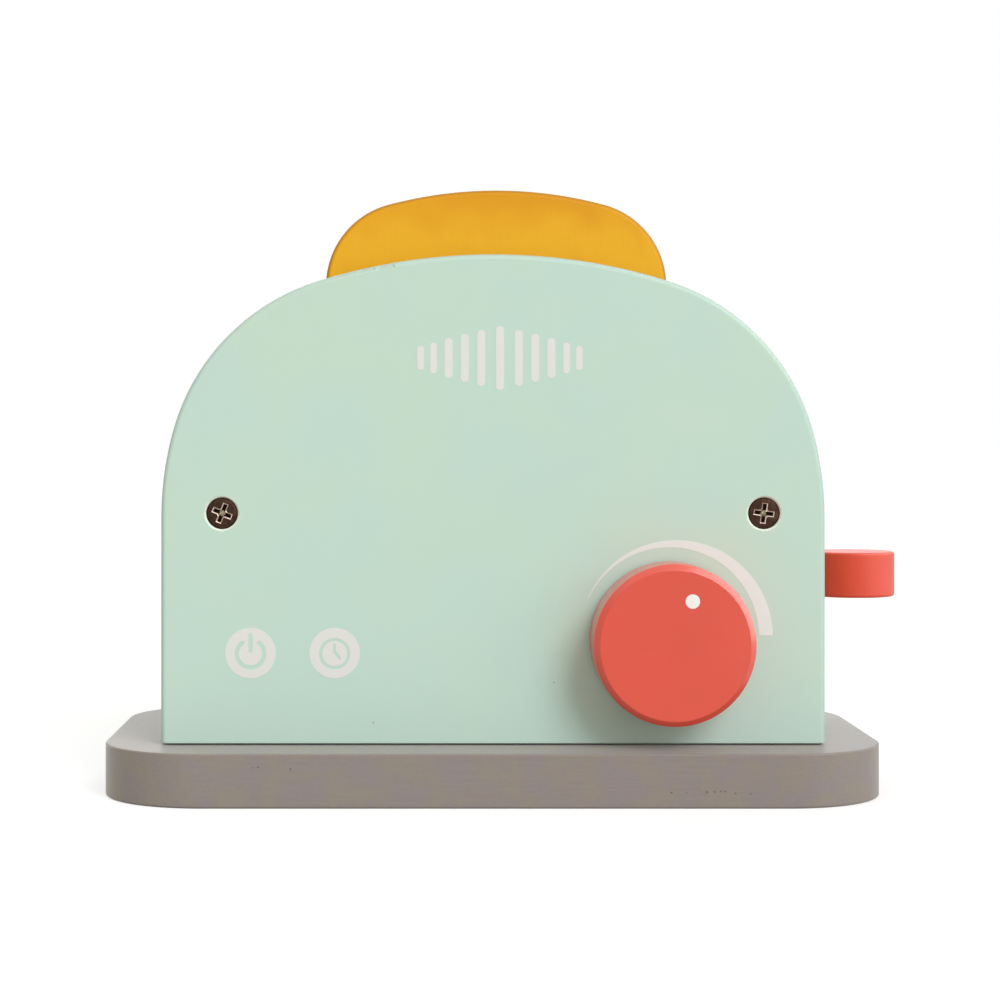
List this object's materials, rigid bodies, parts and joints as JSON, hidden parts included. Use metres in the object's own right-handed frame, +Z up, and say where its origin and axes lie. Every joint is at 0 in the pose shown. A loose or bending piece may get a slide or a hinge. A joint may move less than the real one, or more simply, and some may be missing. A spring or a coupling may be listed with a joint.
{
  "type": "toy toaster",
  "caption": "Wooden play toaster: arched front and rear boards on a rounded base, two slots with lift-out toast, a sprung side lever that lowers the toast, and a turning knob.",
  "frame": {"origin": "centre of the base board's flat underside", "axes": "+X to the right, towards the lever; +Y to the back, away from the knob; +Z up"},
  "size_m": [0.2305, 0.1146, 0.1727],
  "materials": {
    "grey_paint": "matt water-based paint on wood, fine pores showing",
    "mint_paint": "matt water-based paint on wood",
    "red_paint": "satin paint on turned and shaped wood",
    "toast_paint": "matt golden paint on wood",
    "bare_wood": "bare sanded wood",
    "bronze_screw": "steel with a dark antique bronze plating",
    "zinc_steel": "zinc-plated steel",
    "spring_steel": "drawn spring steel wire",
    "magnet_nickel": "nickel-plated magnet",
    "grey_felt": "pressed wool felt"
  },
  "bodies": {
    "body": {"base_board": "grey_paint", "base_screws": "bronze_screw", "front_panel": "mint_paint", "rear_panel": "mint_paint", "left_side_block": "mint_paint", "right_side_block": "mint_paint", "slot_divider": "mint_paint", "front_panel_screws": "bronze_screw", "rear_panel_screws": "bronze_screw", "front_dowels": "bare_wood", "rear_dowels": "bare_wood", "guide_rods": "zinc_steel", "lift_springs": "spring_steel", "catch_block": "bare_wood", "catch_magnet": "magnet_nickel"},
    "carriage": {"toast_platform": "bare_wood", "lever_arm": "bare_wood", "arm_screws": "zinc_steel", "lever_handle": "red_paint", "strike_plate": "zinc_steel", "strike_screw": "zinc_steel"},
    "front_slice": {"front_toast": "toast_paint"},
    "rear_slice": {"rear_toast": "toast_paint"},
    "dial": {"knob": "red_paint", "knob_spindle": "bare_wood", "knob_felt_washer": "grey_felt", "spindle_washer": "zinc_steel", "spindle_screw": "zinc_steel"}
  },
  "joints": [
    {"name": "lever_slide", "type": "slide", "parent": "body", "child": "carriage", "axis": [0, 0, 1], "range_m": [-0.03, 0], "stiffness_N_per_m": 100, "springref_m": 0.04, "deforming": ["lift_springs"]},
    {"name": "front_toast_lift", "type": "slide", "parent": "carriage", "child": "front_slice", "axis": [0, 0, 1], "range_m": [0, 0.09]},
    {"name": "rear_toast_lift", "type": "slide", "parent": "carriage", "child": "rear_slice", "axis": [0, 0, 1], "range_m": [0, 0.09]},
    {"name": "knob_turn", "type": "hinge", "parent": "body", "child": "dial", "pos_m": [0.0492, -0.039, 0.0445], "axis": [0, -1, 0], "continuous": true}
  ]
}
